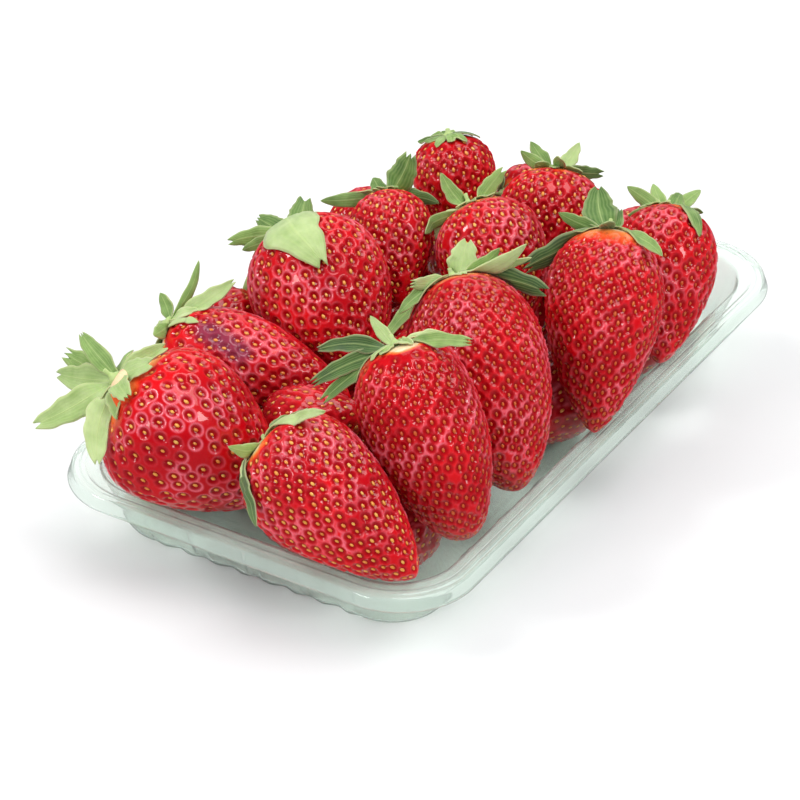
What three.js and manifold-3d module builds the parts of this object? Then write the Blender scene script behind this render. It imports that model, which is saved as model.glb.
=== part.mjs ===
// A shallow clear plastic punnet heaped with large strawberries.
//
// Millimetres, +Z up. The origin is the centre of the tray's flat base, the
// long side lies along Y, and the tray rests on z = 0. The tray is one
// thermoformed sheet: a floor, a leaning fluted wall, a flat flange and a lip
// turned down round it. The fruit is one solid: a core with every berry and
// its green calyx fused on.

import * as THREE from "three";
import { mergeVertices } from "three/addons/utils/BufferGeometryUtils.js";
import { ParametricGeometry } from "three/addons/geometries/ParametricGeometry.js";
import Module from "manifold-3d";

const wasm = await Module();
wasm.setup();

// ---- driving dimensions ------------------------------------------------

const TRAY_WIDTH = 113;
const TRAY_LENGTH = 188;
const TRAY_HEIGHT = 17.5;
const CORNER_RADIUS = 20.2;
const SHEET = 0.8;

const LIP_DROP = 3.4;
const LIP_FLARE = 1.15;
const FLANGE_WIDTH = 7;
const BASE_INSET = 12.6;
const WALL_TOP_SETBACK = 0.6;
const LIP_BEND = 0.6;
const FILLET = 2.2;
const CORNER_SHARE = 0.55;
// The floor's triangles fan out from this point, so that the origin lies well
// inside one of them.
const FLOOR_HUB = [-1.2, 50];

const FLUTE_DEPTH = 0.9;
const LONG_FLUTES = 8;
const SHORT_FLUTES = 4;
const STEPS_PER_FLUTE = 4;
const STEPS_PER_CORNER = 5;

const BERRY_SIDES = 14;
const BERRY_RINGS = 8;
const LOWER_SIDES = 8;
const LOWER_RINGS = 5;
const LOBE = 0.02;

const SEPAL_THICKNESS = 0.9;
const SEPAL_STEPS = 4;
const SEPAL_FOLD = 0.35;
const SEPAL_WAVE = 0.35;
const SEPAL_WAVE_TURNS = 7;
const SEPAL_END_WIDTH = 0.22;
const SEPAL_BULGE = { from: 0.08, to: 0.92, fullness: 0.8 };
const SEPAL_BEND_STEPS = 8;
const SEPAL_SINK = 1.4;
const SEPAL_START = 2.3;
const WIDE_SEPAL = 5.5;
const LEAF_CLEARANCE = 1.2;
const LEAF_LEVELS = 5;
const LEAF_LEVEL_RISE = 0.12;
const LEAF_TRAY_GAP = 0.5;
const FLANGE_MARGIN = 2;

const SMALL_SEPALS = 6;
const SMALL_SEPAL_GAP = 38;
const SMALL_SEPAL_LIFT = { from: -14, to: 8 };
const SMALL_SEPAL_LENGTH = { from: 0.26, to: 0.36 };
const SMALL_SEPAL_SLENDERNESS = 0.42;
const SMALL_SEPAL_CURL = 12;
const SMALL_SEPAL_STEPS = 3;

// ---- small helpers -----------------------------------------------------

const DEGREE = Math.PI / 180;
const UP = new THREE.Vector3(0, 0, 1);
const MERGE_DISTANCE = 1e-4;

function seededRandom(seed) {
  let state = seed >>> 0;
  return () => {
    state = (state * 1664525 + 1013904223) >>> 0;
    return state / 4294967296;
  };
}

function withoutDegenerateFaces(geometry) {
  const index = geometry.getIndex().array;
  const kept = [];
  for (let i = 0; i < index.length; i += 3) {
    const [a, b, c] = [index[i], index[i + 1], index[i + 2]];
    if (a !== b && b !== c && c !== a) kept.push(a, b, c);
  }
  geometry.setIndex(kept);
  return geometry;
}

function signedVolume(geometry) {
  const position = geometry.getAttribute("position");
  const index = geometry.getIndex().array;
  const [a, b, c] = [new THREE.Vector3(), new THREE.Vector3(), new THREE.Vector3()];
  let volume = 0;
  for (let i = 0; i < index.length; i += 3) {
    a.fromBufferAttribute(position, index[i]);
    b.fromBufferAttribute(position, index[i + 1]);
    c.fromBufferAttribute(position, index[i + 2]);
    volume += a.dot(b.cross(c)) / 6;
  }
  return volume;
}

// One closed indexed surface whose faces point out.
function closedSurface(geometry) {
  const bare = geometry.clone();
  for (const name of ["normal", "uv"]) bare.deleteAttribute(name);
  const merged = withoutDegenerateFaces(mergeVertices(bare, MERGE_DISTANCE));
  if (signedVolume(merged) < 0) merged.getIndex().array.reverse();
  return merged;
}

function solid(geometry) {
  const surface = closedSurface(geometry);
  return new wasm.Manifold(new wasm.Mesh({
    numProp: 3,
    vertProperties: new Float32Array(surface.getAttribute("position").array),
    triVerts: new Uint32Array(surface.getIndex().array),
  }));
}

function geometryOf(manifold) {
  const mesh = manifold.getMesh();
  const geometry = new THREE.BufferGeometry();
  geometry.setAttribute("position", new THREE.BufferAttribute(mesh.vertProperties, 3));
  geometry.setIndex(new THREE.BufferAttribute(mesh.triVerts, 1));
  geometry.computeVertexNormals();
  return geometry;
}

// Fusing can seal a hollow between pieces or leave a scrap: only the outer
// skin of the largest body is kept, so that hollows are filled.
function outerBody(manifold) {
  const bodies = manifold.decompose();
  return bodies.reduce((best, body) => (body.volume() > best.volume() ? body : best));
}

// ---- tray --------------------------------------------------------------

// The tray's outline as stations on a rounded rectangle. Each station knows
// its corner or side and how far a flute pushes the wall in there.
function outlineStations() {
  const stations = [];
  const corners = [[1, 1], [-1, 1], [-1, -1], [1, -1]];
  corners.forEach(([sx, sy], k) => {
    for (let i = 0; i < STEPS_PER_CORNER; i++) {
      const angle = (k + i / STEPS_PER_CORNER) * Math.PI / 2;
      stations.push({ from: [sx, sy], angle, along: 0, flute: 0 });
    }
    const flutes = k % 2 === 0 ? SHORT_FLUTES : LONG_FLUTES;
    const steps = flutes * STEPS_PER_FLUTE;
    for (let i = 0; i < steps; i++) {
      const flute = Math.abs(Math.sin(Math.PI * i / STEPS_PER_FLUTE));
      const angle = (k + 1) * Math.PI / 2;
      stations.push({ from: [sx, sy], to: corners[(k + 1) % 4], angle, along: i / steps, flute });
    }
  });
  return stations;
}

function stationPoint(station, inset, flutePush) {
  const radius = CORNER_RADIUS - inset * CORNER_SHARE;
  const halfX = TRAY_WIDTH / 2 - inset - radius;
  const halfY = TRAY_LENGTH / 2 - inset - radius;
  const out = radius - flutePush * station.flute;
  const centre = ([sx, sy]) => [sx * halfX, sy * halfY];
  const [x0, y0] = centre(station.from);
  const [x1, y1] = centre(station.to ?? station.from);
  return [
    THREE.MathUtils.lerp(x0, x1, station.along) + out * Math.cos(station.angle),
    THREE.MathUtils.lerp(y0, y1, station.along) + out * Math.sin(station.angle),
  ];
}

// The sheet's section from the middle of the floor, up the inside, over the
// flange and lip, and back underneath: inset from the outline, height, and how
// deep the flutes are there. It starts and ends at the floor's hub.
function traySection() {
  const lipFoot = TRAY_HEIGHT - LIP_DROP;
  const wallTop = TRAY_HEIGHT - FILLET;
  const topInset = FLANGE_WIDTH + WALL_TOP_SETBACK;
  const wall = (z) => THREE.MathUtils.mapLinear(z, 0, TRAY_HEIGHT, BASE_INSET, topInset);
  return [
    [Infinity, SHEET, 0],
    [wall(0) + SHEET + FILLET, SHEET, 0],
    [wall(FILLET) + SHEET, FILLET + SHEET, FLUTE_DEPTH],
    [wall(wallTop) + SHEET, wallTop, FLUTE_DEPTH],
    [FLANGE_WIDTH, TRAY_HEIGHT, 0],
    [LIP_FLARE + LIP_BEND, TRAY_HEIGHT, 0],
    [LIP_FLARE, TRAY_HEIGHT - LIP_BEND, 0],
    [0, lipFoot, 0],
    [SHEET, lipFoot, 0],
    [LIP_FLARE + SHEET, TRAY_HEIGHT - SHEET, 0],
    [FLANGE_WIDTH - SHEET / 2, TRAY_HEIGHT - SHEET, 0],
    [wall(wallTop), wallTop - SHEET, FLUTE_DEPTH],
    [wall(FILLET), FILLET, FLUTE_DEPTH],
    [wall(0) + FILLET, 0, 0],
    [Infinity, 0, 0],
  ];
}

function trayGeometry() {
  const stations = outlineStations();
  const section = traySection();
  const surface = (u, v, target) => {
    const station = stations[Math.round(u * stations.length) % stations.length];
    const [inset, z, flute] = section[Math.round(v * (section.length - 1))];
    const [x, y] = inset === Infinity ? FLOOR_HUB : stationPoint(station, inset, flute);
    target.set(x, y, z);
  };
  return new ParametricGeometry(surface, stations.length, section.length - 1);
}

// ---- berries -----------------------------------------------------------

// Each berry lies with its middle at `at`. `heading` is the compass of its
// tip in plan, from +X towards +Y, and `dip` how far the tip points down.
// `widest` is where its greatest width lies, from calyx to tip, and `taper`
// how pointed it is. A sepal is [clock, lift, length, width, curl]: its clock
// angle round the calyx, 0 uppermost and 90 on the right as seen from the
// calyx end, how far it lifts off the shoulder, and how much it droops.
const BERRIES = [
  {
    at: [-17, -78, 32], heading: 15, dip: 29, length: 45, width: 38.5, widest: 0.30, taper: 0.62,
    sepals: [
      [54, 61, 20, 6.5, 10], [84, 56, 20, 7, -5], [140, 38, 22, 6.5, 15], [130, -6, 19, 7, 20],
      [75, -24, 11, 6, 10], [-38, -4, 15, 6, -15], [-107, -26, 12, 6, 10],
    ],
  },
  {
    at: [-24, -44, 31], heading: 15, dip: 6, length: 49.5, width: 28.5, widest: 0.33, taper: 0.68,
    sepals: [[-52, -30, 25, 4, -20], [-36, -7, 25, 2, -10], [-47, -41, 13.5, 4, 10], [-40, 32, 10, 5, 0]],
  },
  {
    at: [25, -82, 30.7], heading: -5, dip: 25, length: 48.5, width: 32, widest: 0.28, taper: 0.61,
    sepals: [
      [-79, -20, 20, 5, 40], [-85, 18, 11, 6, 20], [97, -18, 12, 5, 15], [77, 17, 15, 5, -50],
      [94, -35, 26, 5, 50],
    ],
  },
  {
    at: [34.8, -56.9, 38.7], heading: -20, dip: 56, length: 49.5, width: 29.5, widest: 0.36, taper: 0.45,
    sepals: [
      [-165, 50, 13, 3.5, -20], [-24, -11, 20, 5.5, 20], [-85, -5, 13, 4, -10], [122, 20, 18.5, 5, 15],
      [120, -2, 21, 6, 15], [119, -15, 21, 5, 20],
    ],
  },
  {
    at: [31.5, -26, 37], heading: -34, dip: 46, length: 55, width: 35, widest: 0.385, taper: 0.55,
    sepals: [
      [-90, 59, 11, 8, -5], [-64, 20, 14, 5, -10], [-51, 7, 21, 4, -25], [-71, -25, 22.5, 8, 25],
      [75, 4, 13, 5, 10], [90, -27, 24, 5, 20],
    ],
  },
  {
    at: [44.5, 9, 37.5], heading: -66, dip: 48, length: 51.5, width: 30.5, widest: 0.34, taper: 0.66,
    sepals: [[127, 70, 14, 11, -10], [106, 19, 14, 6, -15], [90, -27, 22.5, 8, 20], [-87, -31, 16, 5, 20]],
  },
  {
    at: [43.4, 44.1, 31.8], heading: -64, dip: 38, length: 42, width: 27, widest: 0.315, taper: 0.64,
    sepals: [
      [101, 36, 14, 4, -10], [144, 58, 13, 4, -5], [-141, 40, 18, 5, -10], [-41, -40, 17, 6, 10],
      [93, -10, 10.5, 5, 5],
    ],
  },
  {
    at: [-19.5, -17, 39], heading: -31, dip: 23, length: 46, width: 36.5, widest: 0.36, taper: 0.66,
    sepals: [
      [121, 67, 10, 8, 5], [99, 20, 16, 6, 10], [34, -60, 15, 13, 25], [-90, -3, 16, 4, 20],
      [144, -12, 22, 4, 40],
    ],
  },
  {
    at: [-20.5, 15.5, 37.5], heading: -50, dip: 35, length: 31, width: 22, widest: 0.34, taper: 0.64,
    sepals: [[107, 11, 18, 4, 5], [141, 66, 9, 5, -5], [-53, 47, 12.5, 9, -5], [-90, -18, 14, 5, 20]],
  },
  {
    at: [6.5, 22.5, 37.5], heading: -27, dip: 39, length: 34.5, width: 29, widest: 0.35, taper: 0.64,
    sepals: [[123, 81, 13, 5, -10], [-69, 28, 13, 6, -5], [106, -11, 13, 7, 10], [114, -5, 18, 3.5, 15]],
  },
  {
    at: [-25.5, 55, 34], heading: -38, dip: 70, length: 28.5, width: 23, widest: 0.34, taper: 0.61,
    sepals: [[172, 21, 5, 4, -10], [122, -2, 9, 3, 10], [-111, -21, 9, 3, 20]],
  },
  {
    at: [3.5, 55, 29.5], heading: -67, dip: 49, length: 34, width: 28, widest: 0.345, taper: 0.63,
    sepals: [[99, 51, 11, 5, -10], [78, 30, 11, 3.5, -10], [-137, 59, 12, 5, -20], [-120, 9, 14, 5, 10]],
  },
];

// The berries underneath, on the tray's floor and in the gaps of the heap:
// [x, y, z, heading, dip, length, width].
const LOWER_BERRIES = [
  [-32.6, -60.7, 13.3, 81, 1, 32, 23],
  [-28.8, -28.5, 13.5, -94, 6, 32, 24],
  [-29.5, 5.9, 13.6, 84, 3, 31, 23],
  [-30.1, 40.1, 13.5, -81, 5, 32, 24],
  [-25.5, 68, 16.5, 19, 4, 29, 22],
  [27.8, -62, 13, -70, 3, 30, 22.5],
  [24.2, -29.6, 12.5, 86, 5, 30, 21.5],
  [33, 4, 15.4, -87, 2, 32, 25],
  [33.6, 39.5, 14, -86, 3, 31, 23],
  [27.3, 70.5, 13.1, -9, -2, 29, 23],
  [6.3, -67.4, 12.6, -30, 6, 29, 22],
  [-0.2, 72.6, 13.1, 171, 2, 28, 23],
  [8, -39, 22, -72, 0, 26, 20],
  [6, -5, 17.5, -40, -5, 30, 24],
  [24, 38.8, 28, -51, 0, 27, 21],
  [-12, 36, 25.6, -72, 1, 28, 22],
  [-45.2, -27.8, 27.2, -102, 12, 25, 19],
  [-38, 8, 28.8, -80, 12, 27, 21],
  [-43.2, 34.3, 28, -97, -5, 24, 18],
];
const LOWER_WIDEST = 0.34;
const LOWER_TAPER = 0.62;

function berryFrame(berry) {
  const heading = berry.heading * DEGREE;
  const dip = berry.dip * DEGREE;
  const flat = Math.cos(dip);
  const axis = new THREE.Vector3(flat * Math.cos(heading), flat * Math.sin(heading), -Math.sin(dip));
  const top = UP.clone().addScaledVector(axis, -UP.dot(axis)).normalize();
  const side = new THREE.Vector3().crossVectors(axis, top);
  const calyx = new THREE.Vector3(...berry.at).addScaledVector(axis, -berry.length / 2);
  return { axis, top, side, calyx };
}

function bodyRadius(berry, t) {
  const skew = Math.log(0.5) / Math.log(berry.widest);
  return berry.width / 2 * Math.sin(Math.PI * t ** skew) ** berry.taper;
}

function bodyShareAtRadius(berry, radius) {
  const skew = Math.log(0.5) / Math.log(berry.widest);
  const lean = Math.min(radius / (berry.width / 2), 1) ** (1 / berry.taper);
  return (Math.asin(lean) / Math.PI) ** (1 / skew);
}

function berryBody(berry, sides, rings) {
  const profile = [];
  for (let i = 0; i <= rings; i++) {
    const t = (1 - Math.cos(Math.PI * i / rings)) / 2;
    const radius = i === 0 || i === rings ? 0 : bodyRadius(berry, t);
    profile.push(new THREE.Vector2(radius, t * berry.length));
  }
  const geometry = new THREE.LatheGeometry(profile, sides);
  const position = geometry.getAttribute("position");
  for (let i = 0; i < position.count; i++) {
    const turn = Math.atan2(position.getZ(i), position.getX(i));
    const swell = 1 + LOBE * Math.cos(2 * turn + berry.at[0]) + LOBE * Math.cos(3 * turn + berry.at[1]);
    position.setX(i, position.getX(i) * swell);
    position.setZ(i, position.getZ(i) * swell);
  }
  const { axis, top, side, calyx } = berryFrame(berry);
  const basis = new THREE.Matrix4().makeBasis(top, axis, side);
  return geometry.applyMatrix4(basis.setPosition(calyx));
}

// ---- sepals ------------------------------------------------------------

function between({ from, to }, share) {
  return THREE.MathUtils.lerp(from, to, share);
}

// The sepals that are listed, and small ones round the rest of the calyx.
function allSepals(berry, index) {
  const random = seededRandom(index * 97 + 5);
  const sepals = berry.sepals.map(([clock, lift, length, width, curl]) => (
    { clock, lift, length, width, curl, steps: SEPAL_STEPS, strips: width > WIDE_SEPAL ? 2 : 1 }
  ));
  for (let i = 0; i < SMALL_SEPALS; i++) {
    const clock = (i + 0.5 * random()) * 360 / SMALL_SEPALS;
    const lift = between(SMALL_SEPAL_LIFT, random());
    const length = between(SMALL_SEPAL_LENGTH, random()) * berry.width;
    const width = length * SMALL_SEPAL_SLENDERNESS;
    const clear = berry.sepals.every(([other]) => Math.abs(wrapped(other - clock)) > SMALL_SEPAL_GAP);
    if (clear) {
      sepals.push({ clock, lift, length, width, curl: SMALL_SEPAL_CURL, steps: SMALL_SEPAL_STEPS, strips: 1 });
    }
  }
  return sepals;
}

function wrapped(angle) {
  return ((angle + 180) % 360 + 360) % 360 - 180;
}

// Lanceolate: narrow at the stem, widest before the middle, pointed.
function sepalHalfWidth(share, width) {
  const bulge = Math.sin(Math.PI * between(SEPAL_BULGE, share)) ** SEPAL_BULGE.fullness;
  return width / 2 * THREE.MathUtils.lerp(SEPAL_END_WIDTH, 1, bulge);
}

// Moves a point of a leaf out of any berry that it would sink into.
function laidOver(point, frames, clearance) {
  for (const { berry, frame } of frames) {
    const offset = point.clone().sub(frame.calyx);
    const depth = offset.dot(frame.axis);
    const share = depth / berry.length;
    if (share <= 0 || share >= 1) continue;
    const radial = offset.addScaledVector(frame.axis, -depth);
    const radius = radial.length();
    const sunk = bodyRadius(berry, share) + clearance - radius;
    if (sunk <= 0) continue;
    const backOut = depth - bodyShareAtRadius(berry, radius) * berry.length + clearance;
    if (share < berry.widest && backOut < sunk) {
      point.addScaledVector(frame.axis, -backOut);
    } else {
      point.addScaledVector(radial.normalize(), sunk);
    }
  }
  return keptOffTray(point);
}

// Leaves that hang over the side stay just above the flange.
function keptOffTray(point) {
  const lowest = TRAY_HEIGHT + SEPAL_THICKNESS / 2 + LEAF_TRAY_GAP;
  const innerX = TRAY_WIDTH / 2 - BASE_INSET - FLANGE_MARGIN;
  const innerY = TRAY_LENGTH / 2 - BASE_INSET - FLANGE_MARGIN;
  const over = Math.abs(point.x) > innerX || Math.abs(point.y) > innerY;
  if (over) point.z = Math.max(point.z, lowest);
  return point;
}

// A leaf of even thickness round an open surface: both faces are split into
// triangles alike, and the rim joins them. `shift` is each vertex's offset.
function thickened(surface, shift) {
  const position = surface.getAttribute("position");
  const index = [...surface.getIndex().array];
  const count = position.count;
  const doubled = new Float32Array(count * 6);
  for (let i = 0; i < count * 2; i++) {
    const sign = i < count ? 1 : -1;
    const at = new THREE.Vector3().fromBufferAttribute(position, i % count);
    at.addScaledVector(shift[i % count], sign).toArray(doubled, i * 3);
  }
  const edges = new Set();
  const faces = [...index];
  for (let i = 0; i < index.length; i += 3) {
    const [a, b, c] = index.slice(i, i + 3);
    for (const [from, to] of [[a, b], [b, c], [c, a]]) edges.add(`${from} ${to}`);
    faces.push(c + count, b + count, a + count);
  }
  for (const edge of edges) {
    const [from, to] = edge.split(" ").map(Number);
    if (!edges.has(`${to} ${from}`)) faces.push(to, from, from + count, to, from + count, to + count);
  }
  const leaf = new THREE.BufferGeometry();
  leaf.setAttribute("position", new THREE.BufferAttribute(doubled, 3));
  leaf.setIndex(faces);
  return leaf;
}

function sepalGeometry(frame, { clock, lift, length, width, curl, steps, strips }, frames, order) {
  const turn = clock * DEGREE;
  const outward = frame.top.clone().multiplyScalar(Math.cos(turn)).addScaledVector(frame.side, Math.sin(turn));
  const across = new THREE.Vector3().crossVectors(frame.axis, outward);
  const root = frame.calyx.clone().addScaledVector(frame.axis, SEPAL_SINK);
  root.addScaledVector(outward, SEPAL_START);
  const surface = new THREE.PlaneGeometry(1, 2, steps, strips);
  const clearance = LEAF_CLEARANCE + LEAF_LEVEL_RISE * (order % LEAF_LEVELS);
  const position = surface.getAttribute("position");
  const shift = [];
  for (let i = 0; i < position.count; i++) {
    const share = position.getX(i) + 0.5;
    const edge = position.getY(i);
    const { reach, rise, slope } = alongSepal(share, lift, length - SEPAL_START, curl);
    const normal = outward.clone().multiplyScalar(Math.sin(slope)).addScaledVector(frame.axis, Math.cos(slope));
    const wave = SEPAL_WAVE * Math.sin(SEPAL_WAVE_TURNS * share + clock) * edge;
    const fold = SEPAL_FOLD / 2 * Math.abs(edge) * width / 2;
    const point = root.clone().addScaledVector(outward, reach).addScaledVector(frame.axis, -rise);
    point.addScaledVector(across, edge * sepalHalfWidth(share, width));
    point.addScaledVector(normal, wave - fold);
    if (share > 0) laidOver(point, frames, clearance);
    position.setXYZ(i, point.x, point.y, point.z);
    shift.push(normal.multiplyScalar(SEPAL_THICKNESS / 2));
  }
  return thickened(surface, shift);
}

// The middle line of a sepal bends evenly from lift + curl/2 to lift - curl/2.
function alongSepal(share, lift, length, curl) {
  const step = length * share / SEPAL_BEND_STEPS;
  let reach = 0;
  let rise = 0;
  for (let i = 0; i < SEPAL_BEND_STEPS; i++) {
    const here = (lift + curl * (0.5 - share * (i + 0.5) / SEPAL_BEND_STEPS)) * DEGREE;
    reach += Math.cos(here) * step;
    rise += Math.sin(here) * step;
  }
  return { reach, rise, slope: (lift + curl * (0.5 - share)) * DEGREE };
}

// ---- heap --------------------------------------------------------------

const CORE_LAYERS = [
  { width: 64, length: 142, bottom: 1.6, top: 17 },
  { width: 52, length: 124, bottom: 15, top: 32 },
];
const CORE_RADIUS = 18;

function coreLayer({ width, length, bottom, top }) {
  const [x, y, r] = [width / 2, length / 2, CORE_RADIUS];
  const shape = new THREE.Shape();
  shape.absarc(x - r, y - r, r, 0, Math.PI / 2);
  shape.absarc(r - x, y - r, r, Math.PI / 2, Math.PI);
  shape.absarc(r - x, r - y, r, Math.PI, 1.5 * Math.PI);
  shape.absarc(x - r, r - y, r, 1.5 * Math.PI, 2 * Math.PI);
  const options = { depth: top - bottom, bevelEnabled: false, curveSegments: 4 };
  return new THREE.ExtrudeGeometry(shape, options).translate(0, 0, bottom);
}

function lowerBerry([x, y, z, heading, dip, length, width]) {
  return { at: [x, y, z], heading, dip, length, width, widest: LOWER_WIDEST, taper: LOWER_TAPER };
}

function heapGeometry() {
  const frames = BERRIES.map((berry) => ({ berry, frame: berryFrame(berry) }));
  const pieces = CORE_LAYERS.map(coreLayer);
  for (const row of LOWER_BERRIES) pieces.push(berryBody(lowerBerry(row), LOWER_SIDES, LOWER_RINGS));
  frames.forEach(({ berry, frame }, index) => {
    pieces.push(berryBody(berry, BERRY_SIDES, BERRY_RINGS));
    allSepals(berry, index).forEach((sepal, order) => {
      pieces.push(sepalGeometry(frame, sepal, frames, order));
    });
  });
  const fused = pieces.map(solid).reduce((whole, piece) => whole.add(piece));
  return geometryOf(outerBody(fused));
}

// ---- the part ----------------------------------------------------------

function namedMesh(name, geometry, material) {
  const mesh = new THREE.Mesh(geometry, material);
  mesh.name = name;
  return mesh;
}

const clearPlastic = new THREE.MeshStandardMaterial({ color: 0xd8e8dc, roughness: 0.12, metalness: 0 });
const ripeSkin = new THREE.MeshStandardMaterial({ color: 0xb3101c, roughness: 0.35, metalness: 0 });

const punnet = new THREE.Group();
punnet.add(namedMesh("tray", closedSurface(trayGeometry()), clearPlastic));
punnet.add(namedMesh("strawberries", heapGeometry(), ripeSkin));

export default punnet;
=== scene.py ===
import functools
import math

import bmesh
import bpy
import numpy as np
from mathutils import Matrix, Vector


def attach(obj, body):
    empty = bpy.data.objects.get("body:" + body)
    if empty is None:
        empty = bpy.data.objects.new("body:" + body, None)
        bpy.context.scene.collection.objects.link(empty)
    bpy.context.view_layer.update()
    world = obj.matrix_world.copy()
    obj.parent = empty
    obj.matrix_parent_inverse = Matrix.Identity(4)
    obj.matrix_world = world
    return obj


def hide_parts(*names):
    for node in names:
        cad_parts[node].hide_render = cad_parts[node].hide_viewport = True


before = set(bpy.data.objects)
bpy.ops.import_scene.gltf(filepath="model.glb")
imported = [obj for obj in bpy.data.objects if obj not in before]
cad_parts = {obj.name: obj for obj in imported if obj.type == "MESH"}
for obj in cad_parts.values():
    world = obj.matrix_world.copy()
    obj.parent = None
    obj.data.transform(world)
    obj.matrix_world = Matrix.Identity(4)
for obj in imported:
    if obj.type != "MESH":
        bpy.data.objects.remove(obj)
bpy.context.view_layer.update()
scene = bpy.context.scene

# ---- Camera ----------------------------------------------------------------
# A long lens looks down over the near right corner of the punnet, from about
# a metre away, so that the long side runs back to the upper right.
MM = 0.001
AIM = Vector((-0.64, -13.66, 14.1)) * MM
VIEW_AZIMUTH = math.radians(31.51)
VIEW_ELEVATION = math.radians(33.56)
VIEW_DISTANCE = 1014.2 * MM
toward_camera = Vector((
    math.sin(VIEW_AZIMUTH) * math.cos(VIEW_ELEVATION),
    -math.cos(VIEW_AZIMUTH) * math.cos(VIEW_ELEVATION),
    math.sin(VIEW_ELEVATION),
))
camera = bpy.data.objects.new("camera", bpy.data.cameras.new("camera"))
camera.data.lens = 180
camera.data.sensor_width = 36
camera.location = AIM + toward_camera * VIEW_DISTANCE
camera.rotation_euler = toward_camera.to_track_quat("Z", "Y").to_euler()
scene.collection.objects.link(camera)
scene.camera = camera

# ---- Studio ----------------------------------------------------------------
# A white table under soft boxes: a large one overhead, a key from the left
# and weaker ones from the right, the front and behind. The walls give even
# light but are dark in gloss, so that the fruit keeps its deep reds.
scene.view_settings.view_transform = "Standard"
FLOOR_HALF = 4.0
SOFT_BOXES = (
    # place in metres, size in metres, watts
    ((-2.0, -0.93, 2.43), 0.7, 32),
    ((0.7, 0.8, 3.6), 2.4, 78),
    ((2.55, 0.0, 2.25), 0.8, 24),
    ((-1.0, -3.0, 1.7), 0.9, 30),
    ((-1.3, 2.1, 1.7), 2.0, 16),
)


def new_material(name):
    material = bpy.data.materials.new(name)
    material.use_nodes = True
    return material, material.node_tree, material.node_tree.nodes["Principled BSDF"]


def plain_mesh(name, vertices, faces):
    mesh = bpy.data.meshes.new(name)
    mesh.from_pydata([tuple(v) for v in vertices], [], [tuple(f) for f in faces])
    mesh.update()
    piece = bpy.data.objects.new(name, mesh)
    scene.collection.objects.link(piece)
    return piece


def fill(node, values):
    """Sets a node's inputs, by name or number, or links them to other nodes' outputs."""
    for key, value in values.items():
        if isinstance(value, bpy.types.NodeSocket):
            node.id_data.links.new(value, node.inputs[key])
        else:
            node.inputs[key].default_value = value


def add_node(tree, kind, values, **settings):
    """A new node with these settings and inputs."""
    node = tree.nodes.new(kind)
    for key, setting in settings.items():
        setattr(node, key, setting)
    fill(node, values)
    return node


def math_node(tree, operation, *values):
    return add_node(tree, "ShaderNodeMath", dict(enumerate(values)), operation=operation).outputs[0]


def shader_mix(tree, fac, first, second):
    """A mix of two shader nodes: first where fac is 0, second where it is 1."""
    return add_node(tree, "ShaderNodeMixShader", {0: fac, 1: first.outputs[0], 2: second.outputs[0]})


def mirrored_ray(tree, path):
    """1 for a ray that a gloss throws back, 0 for one that passes through."""
    passed = math_node(tree, "SUBTRACT", 1, path.outputs["Is Transmission Ray"])
    return math_node(tree, "MULTIPLY", path.outputs["Is Glossy Ray"], passed)


for spot, (place, size, watts) in enumerate(SOFT_BOXES):
    lamp = bpy.data.lights.new(f"soft_box_{spot}", "AREA")
    lamp.shape = "SQUARE"
    lamp.size = size
    lamp.energy = watts
    box = bpy.data.objects.new(f"soft_box_{spot}", lamp)
    box.location = place
    box.rotation_euler = (Vector(place) - AIM).to_track_quat("Z", "Y").to_euler()
    scene.collection.objects.link(box)

room = bpy.data.worlds.new("room")
room.use_nodes = True
scene.world = room
room_tree = room.node_tree
seen_light = room_tree.nodes["Background"]
fill(seen_light, {"Color": (1, 1, 1, 1), "Strength": 1.0})
even_light = add_node(room_tree, "ShaderNodeBackground", {"Color": (0.95, 0.97, 1, 1), "Strength": 0.68})
mirrored_light = add_node(room_tree, "ShaderNodeBackground", {"Color": (1, 1, 1, 1), "Strength": 0.05})
room_path = room_tree.nodes.new("ShaderNodeLightPath")
room_light = shader_mix(room_tree, mirrored_ray(room_tree, room_path), even_light, mirrored_light)
room_light = shader_mix(room_tree, room_path.outputs["Is Camera Ray"], room_light, seen_light)
fill(room_tree.nodes["World Output"], {"Surface": room_light.outputs[0]})

floor = plain_mesh("floor", [
    (-FLOOR_HALF, -FLOOR_HALF, 0), (FLOOR_HALF, -FLOOR_HALF, 0),
    (FLOOR_HALF, FLOOR_HALF, 0), (-FLOOR_HALF, FLOOR_HALF, 0),
], [(0, 1, 2, 3)])
floor_paint, floor_tree, floor_shader = new_material("floor_paint")
fill(floor_shader, {"Base Color": (0.70, 0.70, 0.70, 1), "Roughness": 0.9, "Specular IOR Level": 0.1})
floor_in_gloss = add_node(floor_tree, "ShaderNodeBsdfDiffuse", {"Color": (0.12, 0.12, 0.12, 1)})
floor_path = floor_tree.nodes.new("ShaderNodeLightPath")
floor_look = shader_mix(floor_tree, mirrored_ray(floor_tree, floor_path), floor_shader, floor_in_gloss)
fill(floor_tree.nodes["Material Output"], {"Surface": floor_look.outputs[0]})
floor.data.materials.append(floor_paint)

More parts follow.
